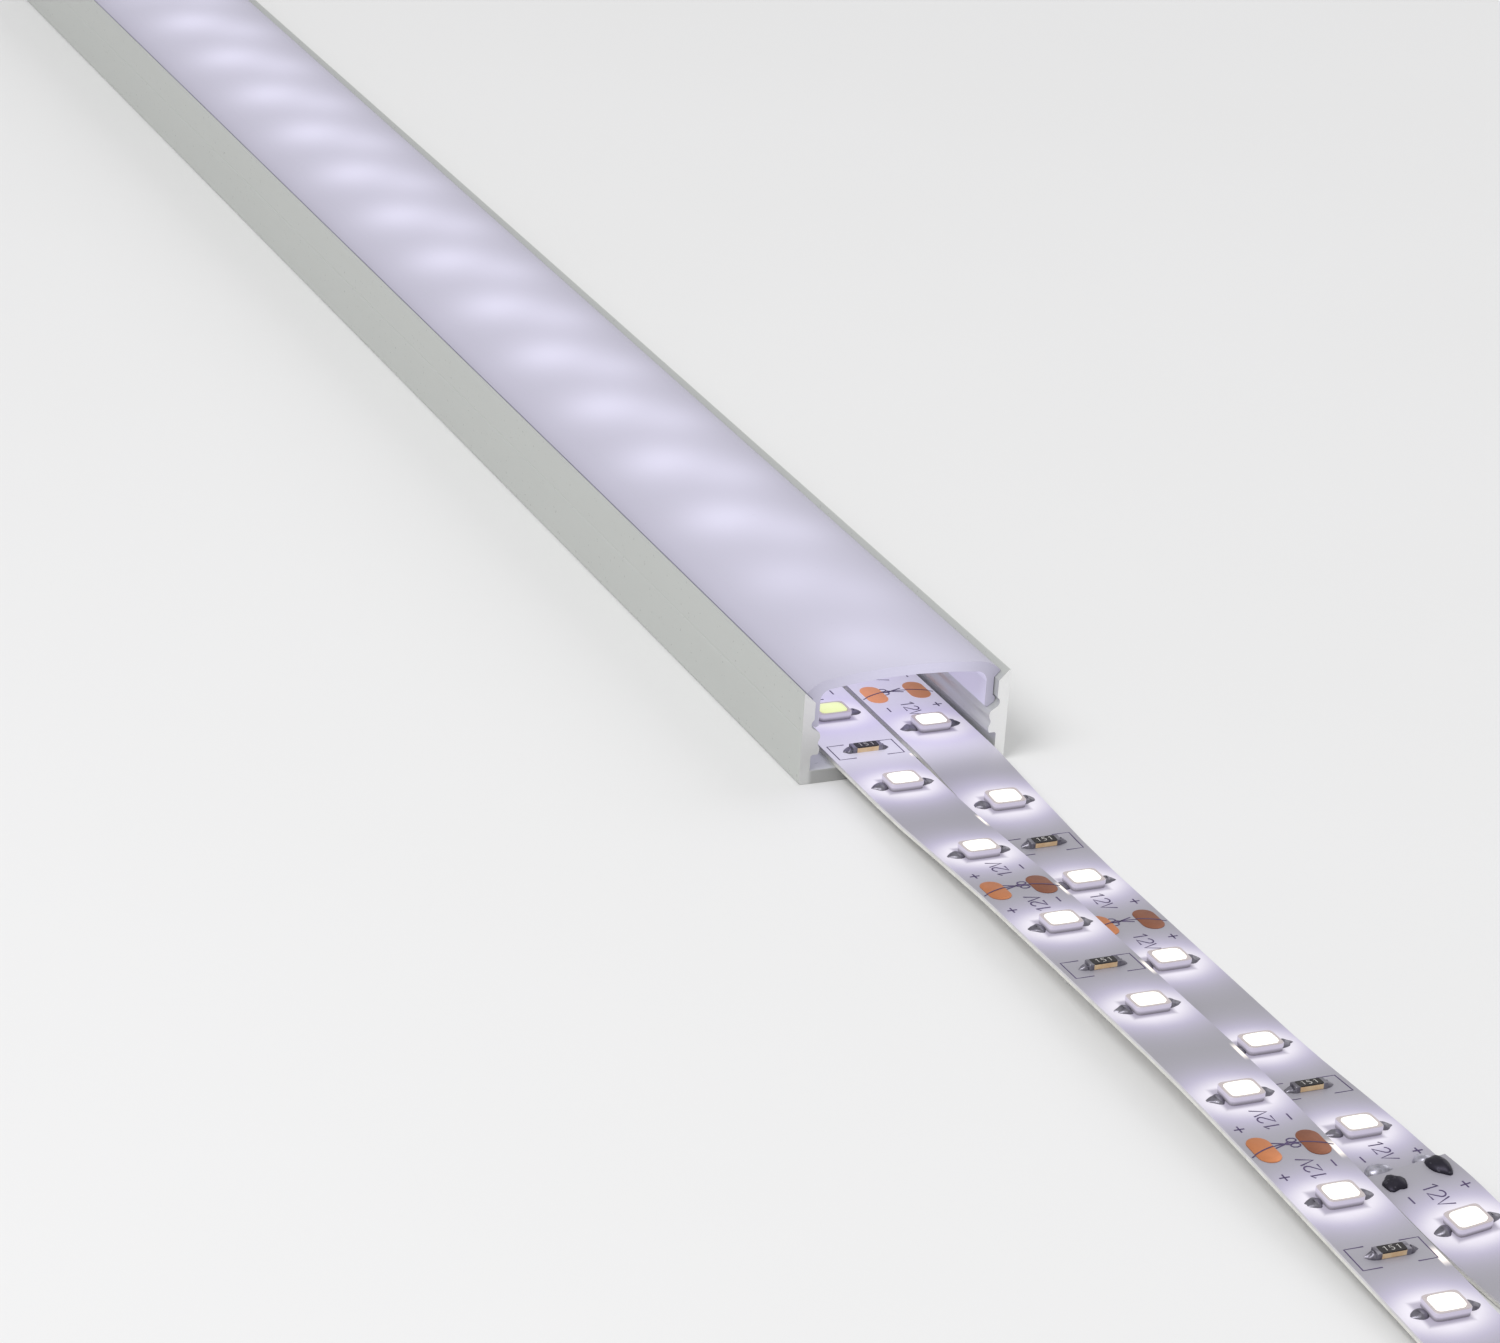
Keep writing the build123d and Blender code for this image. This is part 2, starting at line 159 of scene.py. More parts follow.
class Graph:
    """A material's node tree, ending in one Principled shader."""

    def __init__(self, name: str) -> None:
        """Makes the material and its Principled shader.

        Args:
            name: The finish's name.
        """
        self.material = bpy.data.materials.new(name)
        self.material.use_nodes = True
        self.tree = self.material.node_tree
        self.shader = self.tree.nodes["Principled BSDF"]

    def link(self, value: Any, socket: bpy.types.NodeSocket) -> None:
        """Links a shade or socket to an input, or sets the input to a plain value.

        Args:
            value: A shade, a socket, a number, a vector or a colour.
            socket: The input.
        """
        if isinstance(value, Shade):
            self.tree.links.new(value.socket, socket)
        elif isinstance(value, bpy.types.NodeSocket):
            self.tree.links.new(value, socket)
        elif socket.type == "RGBA":
            socket.default_value = (*value, 1.0)
        else:
            socket.default_value = value

    def node(
        self, kind: str, settings: dict[str, Any] | None = None, *values: Any, **inputs: Any
    ) -> Any:
        """Adds any node.

        Args:
            kind: The node's type name.
            settings: Properties set before the inputs.
            *values: Values or links for its first inputs, in order.
            **inputs: Values or links, by input name.

        Returns:
            The node.
        """
        made = self.tree.nodes.new(kind)
        for key, value in (settings or {}).items():
            setattr(made, key, value)
        for key, value in (*enumerate(values), *inputs.items()):
            self.link(value, made.inputs[key])
        return made

    def math(self, operation: str, *values: Any) -> Shade:
        """Adds one Math node to these values, in order, and gives its result."""
        made = self.node("ShaderNodeMath", {"operation": operation}, *values)
        return Shade(self, made.outputs[0])

    def place(self, location: Sequence[float] = (0.0, 0.0, 0.0), turn: float = 0.0) -> Any:
        """Object coordinates, moved so that location is the origin and turned about Z.

        Args:
            location: The new origin, in metres.
            turn: The angle of the new X axis from the old one, in radians.

        Returns:
            The vector socket.
        """
        mapping = self.node(
            "ShaderNodeMapping",
            {"vector_type": "TEXTURE"},
            Vector=self.node("ShaderNodeTexCoord").outputs["Object"],
            Location=tuple(location),
            Rotation=(0.0, 0.0, turn),
        )
        return mapping.outputs["Vector"]

    def axes(self, vector: Any) -> tuple[Shade, Shade, Shade]:
        """The three numbers of a vector."""
        split = self.node("ShaderNodeSeparateXYZ", Vector=vector)
        return tuple(Shade(self, split.outputs[axis]) for axis in "XYZ")

    def normal(self) -> tuple[Shade, Shade, Shade]:
        """The surface's own direction in the frame."""
        return self.axes(self.node("ShaderNodeTexCoord").outputs["Normal"])

    def share(self) -> Shade:
        """The piece's own attribute, a number at each vertex."""
        made = self.node("ShaderNodeAttribute", {"attribute_name": SHARE})
        return Shade(self, made.outputs["Fac"])

    def noise(
        self, vector: Any, scale: float, detail: float, rough: float = 0.5, stretch: Any = None
    ) -> Shade:
        """Noise from 0 to 1.

        Args:
            vector: Where it is read, in metres.
            scale: Lumps for each metre.
            detail: Octaves.
            rough: Strength of the finer octaves.
            stretch: Three factors that the axes are multiplied by first, if any.

        Returns:
            The noise value.
        """
        if stretch:
            multiply = {"operation": "MULTIPLY"}
            vector = self.node("ShaderNodeVectorMath", multiply, vector, stretch).outputs[0]
        made = self.node(
            "ShaderNodeTexNoise", Vector=vector, Scale=scale, Detail=detail, Roughness=rough
        )
        return Shade(self, made.outputs["Fac"])

    def mix(self, factor: Any, first: Any, second: Any) -> Any:
        """Blends two colours.

        Args:
            factor: 0 for the first, 1 for the second.
            first: A colour or socket.
            second: A colour or socket.

        Returns:
            The blend's socket.
        """
        made = self.node("ShaderNodeMix", {"data_type": "RGBA", "clamp_factor": True})
        for index, value in ((0, factor), (6, first), (7, second)):
            self.link(value, made.inputs[index])
        return made.outputs[2]

    def dim(self, factor: Any, colour: Any) -> Any:
        """A colour times a factor from 0 to 1."""
        return self.mix(factor, BLACK, colour)

    def bump(self, height: Shade, distance: float, strength: float) -> None:
        """Bumps the surface by a height from 0 to 1, where 1 stands for the distance in metres."""
        made = self.node("ShaderNodeBump", Height=height, Distance=distance, Strength=strength)
        self.link(made.outputs["Normal"], self.shader.inputs["Normal"])

    def finish(self, glow: Any = None, strength: float = 1.0, **inputs: Any) -> None:
        """Sets the Principled shader's inputs.

        Args:
            glow: The Emission Color of a finish that glows.
            strength: Its Emission Strength.
            **inputs: Other values or links, with spaces in names written as underscores.
        """
        if glow is not None:
            inputs.update(Emission_Color=glow, Emission_Strength=strength)
        for key, value in inputs.items():
            self.link(value, self.shader.inputs[key.replace("_", " ")])


class Finish:
    """A finish: each kind has a name and paints a new material."""

    name: str

    def build(self) -> Material:
        """Makes the material and has it painted.

        Returns:
            The material.
        """
        graph = Graph(self.name)
        self.paint(graph)
        return graph.material

    def paint(self, graph: Graph) -> None:
        """Adds the finish's nodes to the graph of its material."""
        raise NotImplementedError


@dataclass(frozen=True)
class GlowRow:
    """A row of diodes as the materials read it: where it starts and how it runs."""

    across: float
    first: float
    pitch: float

    def distance(self, x: Shade, y: Shade) -> tuple[Shade, Shade]:
        """The signed distances of a point from the nearest diode, across and along."""
        half = self.pitch / 2
        return x - self.across, (y - self.first).wrap(-half, half)


@dataclass(frozen=True)
class ExtrudedAluminium(Finish):
    """Matt anodised aluminium with fine die lines along it and sawn ends."""

    name: str = "extruded_aluminium"
    colour: Triple = (0.56, 0.575, 0.555)
    sawn_dark: Triple = (0.94, 0.95, 0.94)
    sawn_pale: Triple = (1.0, 1.0, 0.99)
    metallic: float = 0.4
    roughness: float = 0.47
    half_inside: float = 9.6 * MM
    floor_top: float = 1.2 * MM

    def paint(self, graph: Graph) -> None:
        """Stretched noise makes the die lines, and finer noise the sawn ends.

        The sawn ends are duller towards the foot of the left wall and on the floor's edge.

        Args:
            graph: The graph of the finish's material.
        """
        here = graph.place()
        x, _, z = graph.axes(here)
        lines = graph.noise(here, 9000.0, 4.0, 0.7, (1.0, 0.004, 1.0))
        cloud = graph.noise(here, 160.0, 4.0, 0.6, (1.0, 0.25, 1.0))
        grain = graph.noise(here, 7000.0, 2.0)
        saw = graph.noise(here, 16000.0, 3.0, 0.6, (0.12, 1.0, 1.0))
        pits = graph.noise(here, 2600.0, 1.0).step(0.735, 0.76)
        ends = abs(graph.normal()[1]).step(0.7, 0.9)
        # Painted shade: the sawn ends darken a little over the left wall, more towards its foot,
        # and on the floor's edge between the walls.
        left = 1.0 - x.step(-9.0 * MM, 9.0 * MM)
        low = 1.0 - z.step(2.0 * MM, 9.0 * MM)
        beside = abs(x).step(self.half_inside, self.half_inside + 0.6 * MM)
        floor = (1.0 - z.step(self.floor_top, self.floor_top + 0.4 * MM)) * (1.0 - beside)
        cut = 1.0 - 0.07 * left - 0.26 * left * low - 0.24 * floor
        tone = (0.92 + 0.10 * cloud + 0.06 * lines) * (1.0 - 0.25 * pits)
        sawn = graph.dim(cut, graph.mix(saw, self.sawn_dark, self.sawn_pale))
        height = (lines * 0.5 + grain * 0.25) * (1.0 - ends) + ends * saw - pits * 0.5
        graph.bump(height, 0.02 * MM, 0.35)
        graph.finish(
            Base_Color=graph.mix(ends, graph.dim(tone, self.colour), sawn),
            Roughness=self.roughness + 0.14 * (lines - 0.5) + 0.12 * (cloud - 0.5) - 0.1 * ends,
            Metallic=self.metallic,
        )


@dataclass(frozen=True)
class OpalCover(Finish):
    """Milky plastic that shows each diode under it as a soft bright spot."""

    rows: tuple[GlowRow, ...]
    near_end: float
    name: str = "opal_cover"
    colour: Triple = (0.40, 0.385, 0.47)
    speck_colour: Triple = (0.30, 0.29, 0.36)
    glow: Triple = (0.82, 0.80, 1.0)
    even_glow: float = 0.185
    near_glow: float = 0.015
    end_glow: float = 0.16
    inner_glow: float = 0.55
    spots: tuple[float, ...] = (0.20, 0.13)
    spot_across: float = 5.0 * MM
    spot_along: float = 4.6 * MM
    slant: float = 0.16
    weak_until: float = 22.0 * MM
    full_from: float = 42.0 * MM
    bright_line: float = -0.8 * MM
    edge: float = 9.5 * MM

    def paint(self, graph: Graph) -> None:
        """A sum of soft spots over an even glow.

        A spot is exp of minus the squared distance from it, over its reach. Spots lean along
        the cover by the slant, are half as strong near the end, and fade towards both edges
        with the power 2.5 of the distance from the brightest line. The faces that look into
        the channel glow most.

        Args:
            graph: The graph of the finish's material.
        """
        here = graph.place()
        x, y, _ = graph.axes(here)
        deep = 0.5 + 0.5 * (y - self.near_end).step(self.weak_until, self.full_from)
        # Painted light of the diodes under the cover: an even glow and a spot over each.
        light = self.even_glow + 0.03 * graph.noise(here, 60.0, 3.0, 0.5, (1.0, 0.4, 1.0))
        for row, strength in zip(self.rows, self.spots):
            dx, dy = row.distance(x, y - self.slant * (x - row.across))
            reach = (dx / self.spot_across) ** 2.0 + (dy / self.spot_along) ** 2.0
            light = light + strength * deep * (-reach).exp()
        light = light + self.near_glow * (1.0 - deep)
        sideways, facing, upward = graph.normal()
        # Painted light on the cover's end faces.
        light = light + self.end_glow * (-facing).step(0.7, 0.9)
        # More painted light on the faces that look into the channel.
        inner = (-(sideways * x)).over(0.0).most((-upward).step(0.2, 0.6))
        inner = inner * (1.0 - upward.step(-0.2, 0.3)) * (1.0 - abs(facing).over(0.7))
        light = light + self.inner_glow * inner
        # Painted shade: all the painted light falls off towards both edges of the cover.
        away = abs(x - self.bright_line) / self.edge
        light = light * (1.0 - 0.5 * away**2.5)
        grime = graph.noise(here, 1400.0, 4.0, 0.6, (1.0, 0.3, 1.0))
        speck = graph.noise(here, 1500.0, 1.0).step(0.79, 0.81)
        graph.bump(graph.noise(here, 5200.0, 3.0), 0.01 * MM, 0.25)
        graph.finish(
            glow=graph.dim(light, self.glow),
            Base_Color=graph.mix(speck * 0.3, self.colour, self.speck_colour),
            Roughness=0.34 + 0.1 * grime,
        )


@dataclass(frozen=True)
class SolderMask(Finish):
    """White lacquer of a circuit, lit in a pool round each diode."""

    name: str
    row: GlowRow
    origin: Sequence[float]
    turn: float
    near_end: float
    beside: GlowRow | None = None
    lacquer: Triple = (0.33, 0.32, 0.36)
    speck_colour: Triple = (0.22, 0.20, 0.22)
    edge: Triple = (0.60, 0.585, 0.61)
    pool: Triple = (0.55, 0.52, 0.58)
    shade: Triple = (0.06, 0.04, 0.10)
    # Lavender painted light further out from each diode.
    outer_light: Triple = (0.36, 0.31, 0.52)
    # Even painted light on the lacquer inside the channel's mouth.
    inside: Triple = (0.37, 0.355, 0.42)
    # Painted light from the diodes of the strip beside, on this strip's edge.
    sliver: Triple = (0.80, 0.72, 0.62)
    oval: float = 1.35
    clear: float = 1.8 * MM
    spread: float = 2.5 * MM
    package: tuple[float, float] = (1.75 * MM, 1.4 * MM)
    shade_reach: tuple[float, float] = (0.05 * MM, 0.6 * MM)
    outer_light_reach: tuple[float, float] = (2.2 * MM, 4.2 * MM)
    mouth: tuple[float, float] = (-6.0 * MM, 2.0 * MM)

    def paint(self, graph: Graph) -> None:
        """Pools of light, lavender further out, with a shade at the package.

        The pool is exp of minus the power 1.5 of the distance beyond the clear ring, over the
        spread. The shade follows the package's rectangle and ends half a millimetre out. The
        lacquer inside the channel glows evenly, and where a strip lies beside this one, its
        diodes light a sliver of this one's edge.

        Args:
            graph: The graph of the finish's material.
        """
        here = graph.place(self.origin, self.turn)
        x, y, _ = graph.axes(here)
        dx, dy = self.row.distance(x, y)
        reach = ((dx / self.oval) ** 2.0 + dy**2.0) ** 0.5
        pool = (-(((reach - self.clear).most(0.0) / self.spread) ** 1.5)).exp()
        outside = (abs(dx) - self.package[0]).most(abs(dy) - self.package[1])
        shade = 1.0 - outside.step(*self.shade_reach)
        cloud = graph.noise(here, 420.0, 4.0, 0.6)
        speck = graph.noise(here, 5200.0, 1.0).step(0.76, 0.79)
        # Painted light: the pool turns lavender further out, and a painted shade lies round the
        # package.
        lit = graph.mix(reach.step(*self.outer_light_reach), self.pool, self.outer_light)
        lit = graph.mix(shade * 0.8, lit, self.shade)
        top = graph.normal()[2].step(0.5, 0.9)
        # Painted light on the lacquer inside the channel.
        back = graph.axes(graph.place())[1] - self.near_end
        ambient = graph.dim(back.step(*self.mouth) * top, self.inside)
        glow = graph.mix(pool * (0.9 + 0.2 * cloud) * top, ambient, lit)
        # Painted light on a sliver of the edge, beside each diode of the other strip.
        if self.beside:
            near_x, near_y = self.beside.distance(x, y)
            edge = near_x.step(-0.34 * MM, -0.2 * MM) * (1.0 - y.over(0.0))
            sliver = edge * (1.0 - abs(near_y).step(0.5 * MM, 1.7 * MM))
            glow = graph.mix(sliver, glow, self.sliver)
        colour = graph.mix(speck * 0.35, self.lacquer, self.speck_colour)
        graph.bump(cloud + 0.3 * speck, 0.05 * MM, 0.4)
        graph.finish(
            glow=glow,
            Base_Color=graph.mix(top, self.edge, colour),
            Roughness=0.34 + 0.12 * cloud,
        )


@dataclass(frozen=True)
class Plain(Finish):
    """A finish with one main colour, clouded and grained so that it reads as a real surface."""

    name: str
    colour: Triple
    second: Triple
    roughness: float = 0.5
    metallic: float = 0.0

    def paint(self, graph: Graph) -> None:
        """Two noises, one for the clouds and one for the grain.

        Args:
            graph: The graph of the finish's material.
        """
        here = graph.place()
        cloud = graph.noise(here, 900.0, 4.0, 0.6)
        grain = graph.noise(here, 9000.0, 2.0)
        graph.bump(0.5 * cloud + 0.5 * grain, 0.01 * MM, 0.6)
        graph.finish(
            Base_Color=graph.mix(cloud.step(0.35, 0.7), self.colour, self.second),
            Roughness=self.roughness + 0.16 * (cloud - 0.5),
            Metallic=self.metallic,
        )


@dataclass(frozen=True)
class Solder(Finish):
    """Solder with a wrinkled skin, bright, or dark and dull where the attribute says."""

    name: str
    bright: Triple
    dark: Triple
    metallic: float = 0.8
    roughness: float = 0.36

    def paint(self, graph: Graph) -> None:
        """A cloud and the piece's attribute darken it.

        Args:
            graph: The graph of the finish's material.
        """
        cloud = graph.noise(graph.place(), 1400.0, 4.0, 0.6)
        dark_reflection_and_dull = graph.share()
        # The attribute's darkening is a painted dark reflection; the cloud's is random tone.
        tone = (cloud.step(0.3, 0.75) * 0.6 + dark_reflection_and_dull * 0.9).least(1.0)
        graph.bump(cloud, 0.03 * MM, 0.7)
        graph.finish(
            Base_Color=graph.mix(tone, self.bright, self.dark),
            Roughness=self.roughness + 0.16 * (cloud - 0.5) + 0.1 * dark_reflection_and_dull,
            Metallic=self.metallic,
        )


@dataclass(frozen=True)
class BareCopper(Finish):
    """Bare copper, bright on one side of the strip and tarnished brown on the other."""

    near_end: float
    name: str = "bare_copper"
    bright: Triple = (0.60, 0.22, 0.085)
    dark_brown: Triple = (0.21, 0.075, 0.045)
    inside: Triple = (0.30, 0.135, 0.07)
    glow_from: float = 6.0 * MM
    metallic: float = 0.6
    roughness: float = 0.4

    def paint(self, graph: Graph) -> None:
        """The tarnish follows the piece's attribute, in clouds. Inside the channel it glows.

        Args:
            graph: The graph of the finish's material.
        """
        here = graph.place()
        cloud = graph.noise(here, 900.0, 4.0, 0.6)
        darkening = graph.share() * 0.8 + 0.35 * (cloud - 0.4)
        # Painted light on the copper inside the channel.
        lit = graph.axes(here)[1].step(self.near_end, self.near_end + self.glow_from)
        graph.bump(cloud, 0.02 * MM, 0.6)
        graph.finish(
            glow=graph.dim(lit, self.inside),
            Base_Color=graph.mix(darkening, self.bright, self.dark_brown),
            Roughness=self.roughness + 0.2 * (cloud - 0.5),
            Metallic=self.metallic,
        )


@dataclass(frozen=True)
class PhosphorWindow(Finish):
    """Lit phosphor: white, and yellow-green just inside the mouth on the left."""

    near_end: float
    name: str = "phosphor_window"
    shaded_from: float = 7.0 * MM
    shaded_run: float = 12.0 * MM
    colour: Triple = (0.93, 0.93, 0.74)
    lit: Triple = (1.0, 0.985, 0.94)
    shaded: Triple = (0.40, 0.46, 0.13)
    shaded_colour: Triple = (0.66, 0.70, 0.42)
    strength: float = 0.8

    def paint(self, graph: Graph) -> None:
        """An even glow, of another colour over one run of the profile.

        Args:
            graph: The graph of the finish's material.
        """
        here = graph.place()
        x, y, _ = graph.axes(here)
        start = self.near_end + self.shaded_from
        # Painted shade: a dimmer yellow-green over one run inside the mouth, on the left.
        inside = (y.over(start) - y.over(start + self.shaded_run)) * (1.0 - x.over(0.0))
        grain = graph.noise(here, 3000.0, 2.0)
        graph.bump(grain, 0.01 * MM, 0.4)
        graph.finish(
            glow=graph.mix(inside, self.lit, tuple(c / self.strength for c in self.shaded)),
            strength=self.strength,
            Base_Color=graph.mix(inside, self.colour, self.shaded_colour),
            Roughness=0.3 + 0.1 * grain,
        )


@dataclass(frozen=True)
class DiodeShell(Finish):
    """White moulded housing: its foot takes the lacquer's light, its rim the diode's."""

    name: str = "diode_shell"
    colour: Triple = (0.30, 0.28, 0.32)
    wall: Triple = (0.34, 0.315, 0.40)
    rim: Triple = (0.24, 0.20, 0.17)

    def paint(self, graph: Graph) -> None:
        """Dark at the foot, lit up the wall, beige on the rim.

        Args:
            graph: The graph of the finish's material.
        """
        rise = graph.share()
        cloud = graph.noise(graph.place(), 900.0, 3.0)
        # Painted light: lavender up the wall, from the lacquer, and beige on the rim, from the
        # diode; none at the foot.
        lower = graph.dim(rise.step(0.05, 0.6), self.wall)
        graph.bump(cloud, 0.01 * MM, 0.5)
        graph.finish(
            glow=graph.mix(rise.step(0.9, 1.0), lower, self.rim),
            Base_Color=self.colour,
            Roughness=0.4 + 0.1 * cloud,
        )


@dataclass(frozen=True)
class StudioFloor(Finish):
    """Pale matt floor, faintly clouded."""

    name: str = "studio_floor"
    colour: Triple = (0.80, 0.80, 0.80)
    second: Triple = (0.82, 0.82, 0.825)

    def paint(self, graph: Graph) -> None:
        """One wide cloud between the two colours."""
        cloud = graph.noise(graph.place(), 14.0, 3.0)
        graph.finish(Base_Color=graph.mix(cloud, self.colour, self.second), Roughness=0.75)


class Looks:
    """Finishes that several pieces share, and where the profile's near end is."""

    def __init__(self, near_end: float) -> None:
        """Builds them.

        Args:
            near_end: The Y of the profile's near end.
        """
        self.near_end = near_end
        self.tape = Plain("adhesive_tape", (0.74, 0.73, 0.69), (0.64, 0.63, 0.59)).build()
        self.copper = BareCopper(near_end).build()
        self.ceramic = Plain("resistor_body", (0.82, 0.62, 0.38), (0.74, 0.50, 0.28), 0.6).build()
        self.tin = Plain("tinned_cap", (0.30, 0.29, 0.33), (0.14, 0.13, 0.16), 0.35, 0.85).build()
        self.housing = DiodeShell().build()
        self.window = PhosphorWindow(near_end).build()
        # The lumps' solder colours are set dark so that the metal shows a painted dark reflection.
        self.solder = Solder("solder_lump", (0.25, 0.24, 0.28), (0.07, 0.06, 0.085)).build()
        # Joint solder: the lobes on the second strip take the dark colour, a painted dark
        # reflection; the first strip's take the bright one.
        self.joint = Solder("joint_solder", (0.56, 0.55, 0.64), (0.030, 0.027, 0.040)).build()
        self.coat = Plain("resistor_coat", (0.010, 0.008, 0.009), (0.02, 0.016, 0.017), 0.6).build()
        self.digit = Plain("digit_ink", (0.62, 0.60, 0.58), (0.44, 0.42, 0.41), 0.6).build()
        self.ink = Plain("print_ink", (0.055, 0.035, 0.11), (0.09, 0.06, 0.15), 0.6).build()


@dataclass(frozen=True)
class Camera:
    """The photograph's view: a long lens, looking down on the near end from its left."""

    focal_pixels: float = 4795.0
    azimuth: float = -24.99
    elevation: float = 23.69
    roll: float = 3.89
    distance: float = 486.4 * MM
    target: Triple = (-4.744 * MM, 26.228 * MM, 0.0)
    sensor: float = 36.0

    def build(self, near_end: float) -> None:
        """Places the camera.

        Args:
            near_end: The Y of the profile's near end, from which the target is measured.
        """
        turn = (
            Matrix.Rotation(math.radians(self.azimuth), 4, "Z")
            @ Matrix.Rotation(math.radians(90.0 - self.elevation), 4, "X")
            @ Matrix.Rotation(math.radians(self.roll), 4, "Z")
        )
        data = bpy.data.cameras.new("photo_camera")
        data.sensor_width = self.sensor
        data.lens = self.focal_pixels / IMAGE_WIDTH * self.sensor
        data.clip_start, data.clip_end = 0.01, 20.0
        camera = bpy.data.objects.new("photo_camera", data)
        aim = Matrix.Translation(Vector(self.target) + Vector((0.0, near_end, 0.0)))
        camera.matrix_world = aim @ turn @ Matrix.Translation((0.0, 0.0, self.distance))
        bpy.context.scene.collection.objects.link(camera)
        bpy.context.scene.camera = camera


@dataclass(frozen=True)
class Studio:
    """Pale floor, an even sky and two soft lamps."""

    floor_size: float = 6.0
    floor_drop: float = -0.02 * MM
    sky: float = 0.60
    key_power: float = 4.6
    fill_power: float = 1.6

    def build(self) -> None:
        """Makes the floor, the world and the lamps, which look at the middle of the profile."""
        corners = np.array([(-1, -1, 0), (1, -1, 0), (1, 1, 0), (-1, 1, 0)]) * self.floor_size / 2
        points = corners + (0.0, 0.0, self.floor_drop)
        faces = [np.array([[0, 1, 2, 3]])]
        make_object("studio_floor", points, faces, StudioFloor().build())
        world = bpy.data.worlds.new("studio_sky")
        world.use_nodes = True
        sky = world.node_tree.nodes["Background"]
        sky.inputs["Color"].default_value = (1.0, 1.0, 1.0, 1.0)
        sky.inputs["Strength"].default_value = self.sky
        bpy.context.scene.world = world
        for name, place, size, power in (
            ("key_lamp", (-0.55, -0.35, 0.75), 0.5, self.key_power),
            ("fill_lamp", (0.7, 0.2, 0.6), 0.7, self.fill_power),
        ):
            data = bpy.data.lights.new(name, "AREA")
            data.shape, data.size, data.energy = "SQUARE", size, power
            lamp = bpy.data.objects.new(name, data)
            lamp.location = place
            lamp.rotation_euler = (-Vector(place)).to_track_quat("-Z", "Y").to_euler()
            bpy.context.scene.collection.objects.link(lamp)


def make_object(
    name: str, points: Array, faces: list[Array], material: Material, share: Array | None = None
) -> bpy.types.Object:
    """Makes one mesh object at the origin from whole arrays.

    Args:
        name: The piece's name.
        points: N by 3 places in metres.
        faces: Arrays of corner numbers, one array for each number of corners.
        material: Its finish.
        share: A number at each point that the finish reads.

    Returns:
        The object, smooth shaded except at sharp edges.
    """
    mesh = bpy.data.meshes.new(name)
    mesh.from_pydata(points, [], [corners for block in faces for corners in block.tolist()])
    mesh.validate()
    shells = bmesh.new()
    shells.from_mesh(mesh)
    bmesh.ops.recalc_face_normals(shells, faces=shells.faces)
    shells.to_mesh(mesh)
    shells.free()
    mesh.shade_smooth()
    mesh.set_sharp_from_angle(angle=math.radians(SHARP_ANGLE))
    if share is not None:
        layer = mesh.attributes.new(SHARE, "FLOAT", "POINT")
        layer.data.foreach_set("value", np.asarray(share, np.float32))
    mesh.materials.append(material)
    made = bpy.data.objects.new(name, mesh)
    bpy.context.scene.collection.objects.link(made)
    return made


def dress(node: str, look: Material) -> None:
    """Gives a packed node a finish.

    Args:
        node: The node's name.
        look: Its material.
    """
    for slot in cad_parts[node].material_slots:
        slot.material = look
    log.info("%s: %s", node, look.name)


def skin_faces(rings: int, count: int, copies: int) -> list[Array]:
    """Faces of closed solids whose points are stacked rings: side quads and two end caps.

    Args:
        rings: Rings in each solid.
        count: Points in each ring.
        copies: Solids one after another.

    Returns:
        The quads and the caps.
    """
    ring = np.arange(rings - 1)[:, None] * count
    here = np.arange(count)[None, :]
    after = (here + 1) % count
    quads = np.stack([ring + here, ring + after, ring + count + after, ring + count + here], -1)
    quads = quads.reshape(-1, 4)
    caps = np.stack([np.arange(count)[::-1], (rings - 1) * count + np.arange(count)])
    shift = (np.arange(copies) * rings * count)[:, None, None]
    return [(quads[None] + shift).reshape(-1, 4), (caps[None] + shift).reshape(-1, count)]


@dataclass(frozen=True)
class Piece:
    """A new piece: its name, slot and finish, and the packed node that it stands for, if any."""

    name: str
    slot: str
    look: Material
    replaced: str | None = None

    def add(self, points: Array, faces: list[Array], share: Array | None = None) -> None:
        """Makes the piece on the profile's body.

        Args:
            points: N by 3 places in metres.
            faces: Arrays of corner numbers.
            share: A number at each point that the finish reads.
        """
        made = make_object(self.name, points, faces, self.look, share)
        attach(made, PROFILE_BODY)
        if self.replaced:
            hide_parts(self.replaced)
        log.info("%s: %d points", self.name, len(points))

    def add_stacks(self, stacks: Array, share: Array | None = None) -> None:
        """Makes the piece from closed stacks of rings.

        Args:
            stacks: Copies by rings by points by 3 places.
            share: A number for each copy and ring that the finish reads.
        """
        copies, rings, count, _ = stacks.shape
        if share is not None:
            share = np.broadcast_to(share, (copies, rings))[..., None].repeat(count, -1).ravel()
        self.add(stacks.reshape(-1, 3), skin_faces(rings, count, copies), share)


